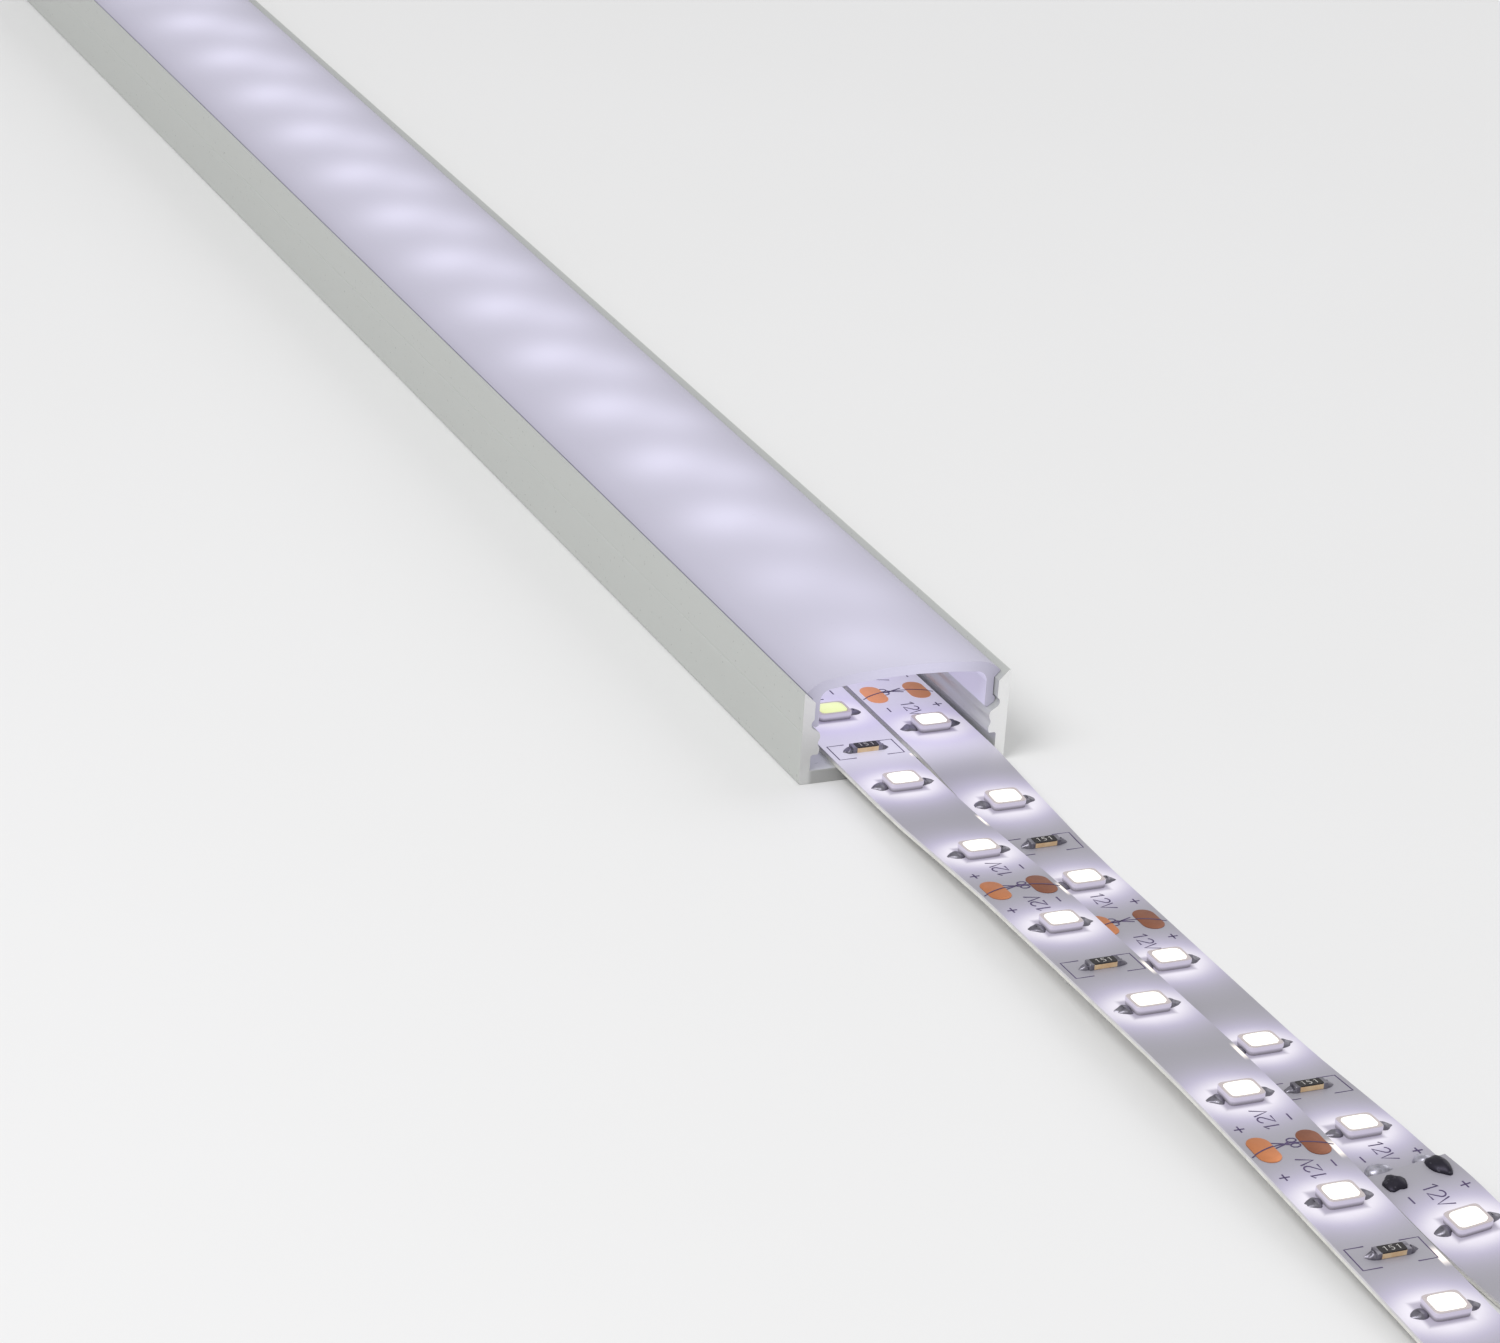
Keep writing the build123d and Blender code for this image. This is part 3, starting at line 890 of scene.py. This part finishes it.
def solder_lump(random: np.random.Generator, size: Sequence[float], pointed: bool) -> Array:
    """A lump of solder: an ellipse whose size falls as sqrt(1 - t^2) with height t.

    Three waves of random size and phase dent it, 1 + sum of a cos(n turn + phase). A pointed one
    leans back towards its terminal with height, and its width and height fall evenly outwards.

    Args:
        random: Source of the waves.
        size: Half its reach, half its width and its height.
        pointed: Whether it is drawn out to a point.

    Returns:
        Rings by points by 3 places.
    """
    half_x, half_y, height = size
    lean_share, taper, drop = 0.3, 0.62, 0.5
    level = np.linspace(0.0, 0.97, 8)[:, None]
    turn = np.linspace(0.0, 2.0 * np.pi, 20, endpoint=False)
    depth = random.uniform(0.02, 0.1, 3)
    phase = random.uniform(0.0, 2.0 * np.pi, 3)
    orders = np.array([2, 3, 5])
    dent = 1.0 + (depth[:, None] * np.cos(orders[:, None] * turn + phase[:, None])).sum(0)
    fall = np.sqrt(1.0 - level**2)
    bulge = random.uniform(0.85, 1.12)
    lean = lean_share * half_x * level if pointed else 0.0
    x = (half_x * fall * dent - lean) * np.cos(turn)
    y = half_y * fall * dent * np.sin(turn)
    z = height * bulge * level * (1.0 + 0.12 * np.cos(turn + phase[0]))
    if pointed:
        out = np.clip((x + half_x) / (2.0 * half_x), 0.0, 1.1)
        y = y * (1.0 - taper * out)
        z = z * (1.0 - drop * out)
    return np.stack([x, y, z], -1)


def mesh_rows(rows: Any, key: str, kind: type, width: int) -> Array:
    """One property of a mesh's points, corners or faces.

    Args:
        rows: The mesh's points, corners or faces.
        key: The property.
        kind: The type of its numbers.
        width: How many numbers each has.

    Returns:
        Rows of that many numbers.
    """
    values = np.empty(len(rows) * width, kind)
    rows.foreach_get(key, values)
    return values.reshape(-1, width)


class StripSurface:
    """Where things lie on a strip: across it, along it and above its lacquered face.

    The strip's own frame is turned by yaw and roll about its start. The height of the face is
    read from the packed circuit, whose upper side runs straight across.
    """

    def __init__(
        self, name: StripName, origin: Sequence[float], yaw: float, roll: float, drift: float
    ) -> None:
        """Reads the upper side of the strip's circuit.

        Args:
            name: Which strip.
            origin: The start of its frame, in metres.
            yaw: Its turn about Z in degrees.
            roll: Its tilt, right edge up, in degrees.
            drift: How far its outer end has moved sideways.
        """
        self.yaw = math.radians(yaw)
        tilt = Matrix.Rotation(-math.radians(roll), 3, "Y")
        self.turn = np.array(tilt @ Matrix.Rotation(self.yaw, 3, "Z"))
        self.origin = np.array(origin)
        self.drift = drift
        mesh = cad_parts[f"{name.value}_circuit"].data
        local = (mesh_rows(mesh.vertices, "co", np.float32, 3) - self.origin) @ self.turn
        normals = mesh_rows(mesh.polygons, "normal", np.float32, 3) @ self.turn
        corners = mesh_rows(mesh.loops, "vertex_index", np.int32, 1).reshape(-1, 3)
        top = local[np.unique(corners[normals[:, 2] > 0.5])]
        top = top[np.argsort(-top[:, 1])]
        self.along, self.height = -top[:, 1], top[:, 2]
        self.outer = self.along.max()
        run = np.hypot(np.diff(self.along), np.diff(self.height))
        self.length = np.concatenate([[0.0], np.cumsum(run)])
        self.total = self.length[-1]

    def reach(self, distance: float) -> float:
        """How far out of the near end a distance measured along the strip from its inner end is."""
        return float(np.interp(distance, self.length, self.along))

    def face(self, out: Any) -> Any:
        """Height of the lacquered face this far out of the near end."""
        return np.interp(out, self.along, self.height)

    def slope(self, out: Any) -> Any:
        """Rise of the face for each metre outwards, taken over a millimetre."""
        return (self.face(out + SLOPE_STEP) - self.face(out - SLOPE_STEP)) / (2 * SLOPE_STEP)

    def sideways(self, out: Any) -> Any:
        """How far the strip has moved sideways: the drift times the squared share of the way."""
        return self.drift * (np.maximum(out, 0.0) / self.outer) ** 2

    def lay(self, distance: float, local: Array, stiff: bool = False) -> Array:
        """Lays a shape on the strip, bent with it or, when stiff, upright at its middle.

        Args:
            distance: Its middle, measured along the strip from the inner end.
            local: Points as across, along towards the outer end, and up.
            stiff: Whether it keeps its shape.

        Returns:
            Their places in the frame.
        """
        across, along, up = np.moveaxis(local, -1, 0)
        out = self.reach(distance) + (0.0 if stiff else along)
        slope = self.slope(out)
        if stiff:
            long = math.hypot(1.0, slope)
            back = (slope * up - along) / long
            rise = (slope * along + up) / long
        else:
            back, rise = slope * up, up
        placed = np.stack([across + self.sideways(out), back - out, self.face(out) + rise], -1)
        return placed @ self.turn.T + self.origin


@dataclass
class StripLayout:
    """Distances of the cut lines, diodes and resistors from one strip's inner end."""

    segments: int
    lead: float
    mirrored: bool
    joint: float = 0.0
    per_segment: int = 3
    offset: float = 0.05 * MM

    def __post_init__(self) -> None:
        """Works them out: the diodes stand half a pitch in, a little to one side."""
        self.pitch = SEGMENT / self.per_segment
        self.diodes = self.lead + self.pitch * (np.arange(self.segments * self.per_segment) + 0.5)
        self.diode_across = -self.offset if self.mirrored else self.offset
        self.cuts = self.lead + SEGMENT * np.arange(self.segments + 1)
        station = 2.0 * self.pitch if self.mirrored else self.pitch
        self.resistors = self.cuts[:-1] + station


def arc(cx: float, cy: float, rx: float, ry: float, start: float, end: float) -> Array:
    """Points on an ellipse's arc, from one angle to another in degrees."""
    turn = np.radians(np.linspace(start, end, 9))
    return np.stack([cx + rx * np.cos(turn), cy + ry * np.sin(turn)], -1)


# Glyphs as pen strokes, with X to the right and Y up, 1 high
BAR = [(-0.36, 0.0), (0.36, 0.0)]
SCISSORS = "%"
GLYPHS: dict[str, list[list[Any]]] = {
    "1": [[(-0.18, 0.28), (0.08, 0.5), (0.08, -0.5)]],
    "2": [[*arc(0.0, 0.22, 0.3, 0.28, 165, -30), (-0.32, -0.5), (0.34, -0.5)]],
    "5": [[(0.28, 0.5), (-0.22, 0.5), (-0.27, 0.05), *arc(-0.02, -0.18, 0.3, 0.31, 115, -140)]],
    "V": [[(-0.34, 0.5), (0.0, -0.5), (0.34, 0.5)]],
    "+": [BAR, [(0.0, -0.36), (0.0, 0.36)]],
    "-": [BAR],
    SCISSORS: [
        [*arc(0.55, 0.27, 0.3, 0.2, 0, 360)],
        [*arc(0.55, -0.27, 0.3, 0.2, 0, 360)],
        [(0.3, 0.17), (-0.1, -0.06), (-0.8, -0.3)],
        [(0.3, -0.17), (-0.1, 0.06), (-0.8, 0.3)],
    ],
}


@dataclass(frozen=True)
class Mark:
    """One glyph on a strip: its middle across and outwards, the way it reads and its height."""

    glyph: str
    across: float
    out: float
    reading: Reading
    size: float


@dataclass
class Pen:
    """Printed lines: thin flat bars that follow points on a strip."""

    surface: StripSurface
    width: float = 0.15 * MM
    thickness: float = 0.012 * MM
    gap: float = 0.004 * MM
    points: list[Array] = field(default_factory=list)
    faces: list[Array] = field(default_factory=list)
    count: int = 0

    def draw(self, distance: float, path: Array, width: float, lift: float = 0.0) -> None:
        """Adds one line: its path carried sideways by half its width each way, and a thickness.

        Args:
            distance: Where the path's origin lies along the strip.
            path: Points as across and along towards the outer end.
            width: The line's width.
            lift: How far above the lacquer it lies.
        """
        ahead = np.gradient(path, axis=0)
        ahead = ahead / np.maximum(np.linalg.norm(ahead, axis=1, keepdims=True), 1e-9)
        side = np.stack([-ahead[:, 1], ahead[:, 0]], -1) * width / 2
        low = lift + self.gap
        high = low + self.thickness
        rows = []
        for sign, height in ((-1, low), (1, low), (1, high), (-1, high)):
            rows.append(np.column_stack([path + sign * side, np.full(len(path), height)]))
        local = np.stack(rows, axis=1).reshape(-1, 3)
        self.points.append(self.surface.lay(distance, local))
        self.faces.append(np.concatenate(skin_faces(len(path), 4, 1)) + self.count)
        self.count += len(local)

    def write(self, distance: float, mark: Mark, lift: float = 0.0) -> None:
        """Writes one mark.

        Args:
            distance: The place along the strip that the mark is measured from.
            mark: The mark.
            lift: How far above the lacquer it lies.
        """
        right = np.array(mark.reading.value)
        upward = np.array([right[1], -right[0]])
        for stroke in map(np.array, GLYPHS[mark.glyph]):
            path = (stroke[:, :1] * right + stroke[:, 1:] * upward) * mark.size
            self.draw(distance, path + (mark.across, mark.out), self.width, lift)

    def finish(self, piece: Piece) -> None:
        """Makes one piece of everything drawn."""
        piece.add(np.concatenate(self.points), self.faces)


@dataclass
class StripPrint:
    """Marks printed at each cut line and round each resistor."""

    mirrored: bool
    text_size: float = 1.45 * MM
    sign_size: float = 1.35 * MM
    scissors_size: float = 1.5 * MM
    letter_pitch: float = 0.78
    margin: float = 1.0 * MM
    line_width: float = 0.13 * MM
    line_bow: float = 80.0
    line_reach: float = 3.85 * MM
    bracket_across: float = 3.45 * MM
    bracket_along: float = 1.55 * MM
    bracket_arm: float = 1.8 * MM

    def marks(self) -> list[Mark]:
        """The marks at one cut line, from their places across and outwards in millimetres.

        Returns:
            The marks, letter by letter.
        """
        if self.mirrored:
            reading, turned = Reading.OUT, Reading.TURNED
            words, plus, minus, cut = (0.0, 3.9, -4.6), (2.9, 3.7, -3.7), (-2.4, 3.7, -3.7), -0.3
        else:
            reading, turned = Reading.BACK, Reading.ACROSS
            words, plus, minus, cut = (0.2, 3.6, -4.3), (-2.75, 4.2, -3.5), (2.4, 3.3, -4.2), -0.15
        marks = []
        for text, size, (across, *outs) in (
            ("12V", self.text_size, words),
            ("+", self.sign_size, plus),
            ("-", self.sign_size, minus),
        ):
            for out in outs:
                for index, letter in enumerate(text):
                    step = (index - (len(text) - 1) / 2) * self.letter_pitch * size
                    place = np.array([across, out]) * MM + np.array(reading.value) * step
                    marks.append(Mark(letter, *place, reading, size))
        marks.append(Mark(SCISSORS, cut * MM, -0.4 * MM, turned, self.scissors_size))
        return marks

    def cut_line(self) -> list[Triple]:
        """The cut line's stretches: from, to and lift, as it runs over two pads.

        Returns:
            The stretches, in the order they run across.
        """
        inner, outer = PAD_OFFSET - PAD_ACROSS / 2, PAD_OFFSET + PAD_ACROSS / 2
        ends = (-self.line_reach, -outer, -inner, inner, outer, self.line_reach)
        return list(zip(ends, ends[1:], (0.0, PAD_RISE, 0.0, PAD_RISE, 0.0)))

    def write(self, pen: Pen, layout: StripLayout) -> None:
        """Prints every cut line and resistor bracket that lies on the strip.

        A cut line is a parabola, the bow times the square of the distance across.

        Args:
            pen: The ink on its strip.
            layout: The strip's distances.
        """
        low, high = self.margin, pen.surface.total - self.margin
        for cut in layout.cuts:
            for mark in self.marks():
                if low < cut + mark.out < high:
                    pen.write(cut, mark)
            if low < cut < high:
                for start, stop, lift in self.cut_line():
                    across = np.linspace(start, stop, 7)
                    bowed = self.line_bow * (across**2 - PAD_OFFSET**2)
                    pen.draw(cut, np.column_stack([across, bowed]), self.line_width, lift)
        far, near = self.bracket_across, self.bracket_across - self.bracket_arm
        tall = self.bracket_along
        bracket = np.array([(near, tall), (far, tall), (far, -tall), (near, -tall)])
        for station in layout.resistors:
            for side in (-1.0, 1.0):
                pen.draw(station, bracket * (side, 1.0), self.line_width)


@dataclass
class FlexibleStrip:
    """One length of flexible strip, with its diodes, resistors, solder, pads and print."""

    name: StripName
    surface: StripSurface
    layout: StripLayout
    seed: int
    beside: GlowRow | None = None
    standoff: float = 0.04 * MM
    led_across: float = 3.5 * MM
    led_along: float = 2.8 * MM
    led_height: float = 0.8 * MM
    window_across: float = 2.86 * MM
    window_along: float = 2.2 * MM
    window_rise: float = 0.26 * MM
    resistor_across: float = 3.2 * MM
    resistor_along: float = 1.1 * MM
    resistor_height: float = 0.55 * MM
    coat_across: float = 2.46 * MM
    coat_rise: float = 0.075 * MM
    cap_across: float = 0.5 * MM
    cap_skin: float = 0.06 * MM
    digit_size: float = 0.62 * MM
    digit_width: float = 0.075 * MM
    led_solder: Triple = (0.86 * MM, 0.95 * MM, 0.52 * MM)
    chip_solder: Triple = (0.66 * MM, 0.66 * MM, 0.62 * MM)
    led_solder_out: float = 0.66 * MM
    chip_solder_out: float = 0.2 * MM
    pad_along: float = 3.9 * MM
    pad_end_gap: float = 0.03 * MM
    ring: int = 24

    def node(self, name: str) -> str:
        """A name with the strip's own before it."""
        return f"{self.name.value}_{name}"

    def piece(self, name: str, slot: str, look: Material, *replaced: str) -> Piece:
        """A piece of the strip and the node it replaces, if any, both named without the strip's."""
        return Piece(self.node(name), slot, look, *map(self.node, replaced))

    def row(self) -> GlowRow:
        """The diodes as the lacquer reads them, from the strip's own origin."""
        out = self.surface.reach(self.layout.diodes[0])
        return GlowRow(self.layout.diode_across, -out, self.layout.pitch)

    def boxes(
        self,
        piece: Piece,
        sections: Sequence[Triple],
        power: float,
        stations: Array,
        middles: Sequence[float] = (0.0,),
        share: Array | None = None,
    ) -> None:
        """Makes a piece of stacked soft rectangles, a closed stack at each station.

        A ring is a superellipse, |x/a|^n + |y/b|^n = 1.

        Args:
            piece: The piece.
            sections: Half width, half depth and height of each ring, from the bottom.
            power: n; the larger, the squarer.
            stations: Distances along the strip.
            middles: How far they stand from the strip's middle.
            share: A number for each ring that the finish reads.
        """
        turn = np.linspace(0.0, 2.0 * np.pi, self.ring, endpoint=False)
        c, s = np.cos(turn), np.sin(turn)
        half_x, half_y, height = np.array(sections).T[..., None]
        x = half_x * np.sign(c) * np.abs(c) ** (2.0 / power)
        y = half_y * np.sign(s) * np.abs(s) ** (2.0 / power)
        local = np.stack([x, y, np.broadcast_to(height, x.shape) + self.standoff], -1)
        stacks = []
        for middle in middles:
            for station in stations:
                stacks.append(self.surface.lay(station, local + (middle, 0.0, 0.0), stiff=True))
        piece.add_stacks(np.stack(stacks), share)

    def diodes(self, looks: Looks) -> None:
        """White housings with a soft top edge and a recess, and in it glowing phosphor windows.

        A window is domed: its height falls off as the ring grows, 1 - r^3.

        Args:
            looks: All the finishes.
        """
        stations, middles = self.layout.diodes, (self.layout.diode_across,)
        x, y, z = self.led_across / 2, self.led_along / 2, self.led_height
        rim_x, rim_y = self.window_across / 2, self.window_along / 2
        e = 0.04 * MM
        foot = [(x - e, y - e, share * z) for share in (0.0, 0.2, 0.45)]
        wall = [(x, y, 0.47 * z), (x, y, 0.72 * z), (x, y, z - 2.0 * e)]
        rim = [(rim_x + e, rim_y + e, z), (rim_x, rim_y, z - 2.5 * e)]
        shell = [*foot, *wall, (x - 1.5 * e, y - 1.5 * e, z), *rim]
        rise = np.array([0.0, 0.2, 0.45, 0.47, 0.72, 0.9, 1.0, 1.1, 1.1])
        piece = self.piece("diode_shells", "led_housing", looks.housing, "led_housings")
        self.boxes(piece, shell, 7.0, stations, middles, rise)
        e = 0.02 * MM
        grow = np.linspace(1.0, 0.12, 7)
        dome = [(rim_x * g, rim_y * g, z + self.window_rise * (1.0 - g**3)) for g in grow]
        window = [(rim_x - e, rim_y - e, z - 6.0 * e), *dome]
        piece = self.piece("diode_windows", "led_window", looks.window, "led_windows")
        self.boxes(piece, window, 4.2, stations, middles)

    def solder(self, look: Material) -> None:
        """Solder lumps: domes whose rings are dented by three random waves round them.

        Args:
            look: The solder's material.
        """
        random = np.random.default_rng(self.seed)
        led_reach = self.led_across / 2 + self.led_solder_out
        chip_reach = self.resistor_across / 2 + self.chip_solder_out
        stacks = []
        for stations, middle, reach, size in (
            (self.layout.diodes, self.layout.diode_across, led_reach, self.led_solder),
            (self.layout.resistors, 0.0, chip_reach, self.chip_solder),
        ):
            for station in stations:
                for side in (-1.0, 1.0):
                    local = solder_lump(random, size, pointed=True)
                    local[..., 0] *= side
                    local[..., 0] += middle + side * reach
                    stacks.append(self.surface.lay(station, local, stiff=True))
        self.piece("solder", "solder", look, "solder_lumps").add_stacks(np.stack(stacks))

    def pads(self, look: Material) -> None:
        """Copper pads with round ends across each cut line, bent with the strip.

        A pad is a stack of rings of a rectangle with half-circle ends, from the lacquer up, and
        where the strip ends at a cut line the part beyond its end is folded back to the end.

        Args:
            look: The copper's material.
        """
        stacks, sides = [], []
        round_end = PAD_ACROSS / 2
        turn = np.linspace(0.0, 2.0 * np.pi, 2 * self.ring, endpoint=False)
        straight = np.where(np.sin(turn) >= 0.0, 1.0, -1.0) * (self.pad_along / 2 - round_end)
        low, high = self.pad_end_gap, self.surface.total - self.pad_end_gap
        for cut in self.layout.cuts:
            if cut < self.layout.joint:
                continue
            for across in (-PAD_OFFSET, PAD_OFFSET):
                rings = []
                for grow, height in ((1.0, 0.002 * MM), (1.0, 0.05 * MM), (0.96, PAD_RISE)):
                    x = across + grow * round_end * np.cos(turn)
                    y = grow * round_end * np.sin(turn) + straight
                    y = np.clip(cut + y, low, high) - cut
                    rings.append(np.stack([x, y, np.full_like(x, height)], -1))
                stacks.append(self.surface.lay(cut, np.stack(rings)))
                sides.append([float(across > 0.0)])
        piece = self.piece("copper_pads", "copper_pads", look, "pads")
        piece.add_stacks(np.stack(stacks), np.array(sides))

    def resistors(self, looks: Looks) -> None:
        """Resistors: a pale ceramic bar, a tinned cap on each end and a black coat on top.

        Args:
            looks: All the finishes.
        """
        stations = self.layout.resistors
        half, y, z = self.resistor_across / 2, self.resistor_along / 2, self.resistor_height
        top, e = z - self.cap_skin, 0.01 * MM
        x = half - self.cap_skin
        bar = [(x, y, 0.0), (x, y, top - 2.0 * e), (x, y - 2.0 * e, top)]
        piece = self.piece("resistor_bars", "resistor_ceramic", looks.ceramic, "resistors")
        self.boxes(piece, bar, 14.0, stations)
        x, wide = self.cap_across / 2, y + 2.0 * e
        cap = [(x, wide, 0.0), (x, wide, z - 4.0 * e), (x - 2.0 * e, y - 2.0 * e, z)]
        piece = self.piece("resistor_ends", "tinned_caps", looks.tin, "resistor_caps")
        self.boxes(piece, cap, 8.0, stations, (x - half, half - x))
        x = self.coat_across / 2
        foot, rim = (x - 3.0 * e, y, top - 3.0 * e), (x, y + e, top + 2.0 * e)
        coat = [foot, rim, (x - 3.0 * e, y - 4.0 * e, top + self.coat_rise)]
        piece = self.piece("resistor_coats", "resistor_ceramic", looks.coat)
        self.boxes(piece, coat, 14.0, stations)

    def digits(self, look: Material) -> None:
        """Pale digits on the resistors' coats.

        Args:
            look: The print's material.
        """
        pen = Pen(self.surface, self.digit_width)
        top = self.standoff + self.resistor_height - self.cap_skin + self.coat_rise
        for station in self.layout.resistors:
            for index, digit in enumerate("151"):
                across = (index - 1) * self.digit_size
                pen.write(station, Mark(digit, across, 0.0, Reading.ACROSS, self.digit_size), top)
        pen.finish(self.piece("resistor_digits", "resistor_ceramic", look))

    def marks(self, look: Material) -> None:
        """Print on the lacquer.

        Args:
            look: The print's material.
        """
        pen = Pen(self.surface)
        StripPrint(self.layout.mirrored).write(pen, self.layout)
        pen.finish(self.piece("print", "white_circuit", look))

    def build(self, looks: Looks) -> None:
        """Builds and dresses every piece of the strip.

        Args:
            looks: All the finishes.
        """
        place = (self.surface.origin, self.surface.yaw, looks.near_end)
        mask = SolderMask(self.node("lacquer"), self.row(), *place, self.beside)
        dress(self.node("circuit"), mask.build())
        dress(self.node("tape"), looks.tape)
        self.diodes(looks)
        self.solder(looks.solder)
        self.pads(looks.copper)
        self.resistors(looks)
        self.digits(looks.digit)
        self.marks(looks.ink)


@dataclass(frozen=True)
class SolderJoint:
    """Four lobes of solder that join two strips, a pair on each copper pad."""

    first: StripSurface
    second: StripSurface
    lap: float
    radius: float = 1.0 * MM
    height: float = 0.6 * MM
    shift: float = 1.0 * MM
    seed: int = 41

    def build(self, look: Material) -> None:
        """Lobes as domes dented by random waves, bright on the first strip, dull on the second.

        Args:
            look: The solder's material.
        """
        random = np.random.default_rng(self.seed)
        inner = self.first.total - self.lap - self.radius + self.shift / 2
        outer = self.radius + self.shift
        stacks = []
        for surface, station, across, stretch in (
            (self.first, inner, -PAD_OFFSET + 0.05 * MM, (1.2, 0.95, 1.3)),
            (self.first, inner - 0.4 * MM, PAD_OFFSET - 0.1 * MM, (0.9, 0.9, 1.3)),
            (self.second, outer, -PAD_OFFSET, (1.0, 1.15, 1.0)),
            (self.second, outer - 0.6 * MM, PAD_OFFSET + 0.1 * MM, (0.85, 1.6, 1.0)),
        ):
            size = np.array(stretch) * (self.radius, self.radius, self.height)
            local = solder_lump(random, size, pointed=False)
            local[..., 0] += across
            stacks.append(surface.lay(station, local, stiff=True))
        # Painted dark reflection, and more roughness, on the second strip's lobes.
        dark_reflection_and_dull = np.array([[0.0], [0.0], [1.0], [1.0]])
        Piece("joint_lobes", "solder", look, "joint_solder").add_stacks(np.stack(stacks), dark_reflection_and_dull)


@dataclass
class LedProfile:
    """The whole object: channel, cover and the three lengths of strip."""

    drift: float = 0.6 * MM
    joint_lap: float = 1.8 * MM
    joined_yaw: float = 3.5
    joined_roll: float = 5.0
    joined_seed: int = 37
    glow_squeeze: float = 0.75
    glow_shift: float = 3.1 * MM
    sliver_shift: float = 4.6 * MM

    def centre(self, name: StripName) -> float:
        """The middle of a strip inside the profile: its box grows to the right by its drift."""
        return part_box(f"{name.value}_circuit")[0].x + STRIP_WIDTH / 2

    def build(self) -> None:
        """Builds the strips from the packed circuits, then dresses the channel and the cover."""
        near_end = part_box("channel_extrusion")[0].y
        looks = Looks(near_end)
        laid = []
        for name, mirrored, seed in ((StripName.LEFT, False, 11), (StripName.RIGHT, True, 23)):
            origin = (self.centre(name), near_end, 0.0)
            surface = StripSurface(name, origin, 0.0, 0.0, self.drift)
            layout = StripLayout(round(surface.total / SEGMENT), 0.0, mirrored)
            laid.append(FlexibleStrip(name, surface, layout, seed))
        left, right = laid
        # Where the painted light of the right strip's diodes falls on the left strip's edge.
        seen = right.row()
        left.beside = GlowRow(STRIP_WIDTH / 2, seen.first - self.sliver_shift, seen.pitch)
        # The cover's painted light spots, drawn in towards the middle and moved towards the near
        # end.
        rows = []
        for strip in laid:
            strip.build(looks)
            row = strip.row()
            across = (strip.surface.origin[0] + row.across) * self.glow_squeeze
            rows.append(GlowRow(across, near_end + row.first - self.glow_shift, row.pitch))
        origin = (
            self.centre(StripName.RIGHT) + self.drift,
            near_end - right.surface.outer + self.joint_lap / 2,
            STRIP_WIDTH / 2 * math.sin(math.radians(self.joined_roll)),
        )
        surface = StripSurface(StripName.JOINED, origin, self.joined_yaw, self.joined_roll, 0.0)
        layout = StripLayout(1, self.joint_lap / 2, True, self.joint_lap)
        FlexibleStrip(StripName.JOINED, surface, layout, self.joined_seed).build(looks)
        SolderJoint(right.surface, surface, self.joint_lap).build(looks.joint)
        dress("channel_extrusion", ExtrudedAluminium().build())
        dress("diffuser_cover", OpalCover(tuple(rows), near_end).build())


def main() -> None:
    """Builds the object, the studio and the camera."""
    logging.basicConfig(level=logging.INFO, format="%(message)s")
    LedProfile().build()
    Studio().build()
    Camera().build(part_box("channel_extrusion")[0].y)
    bpy.context.scene.view_settings.view_transform = "Standard"


if __name__ == "__main__":
    main()
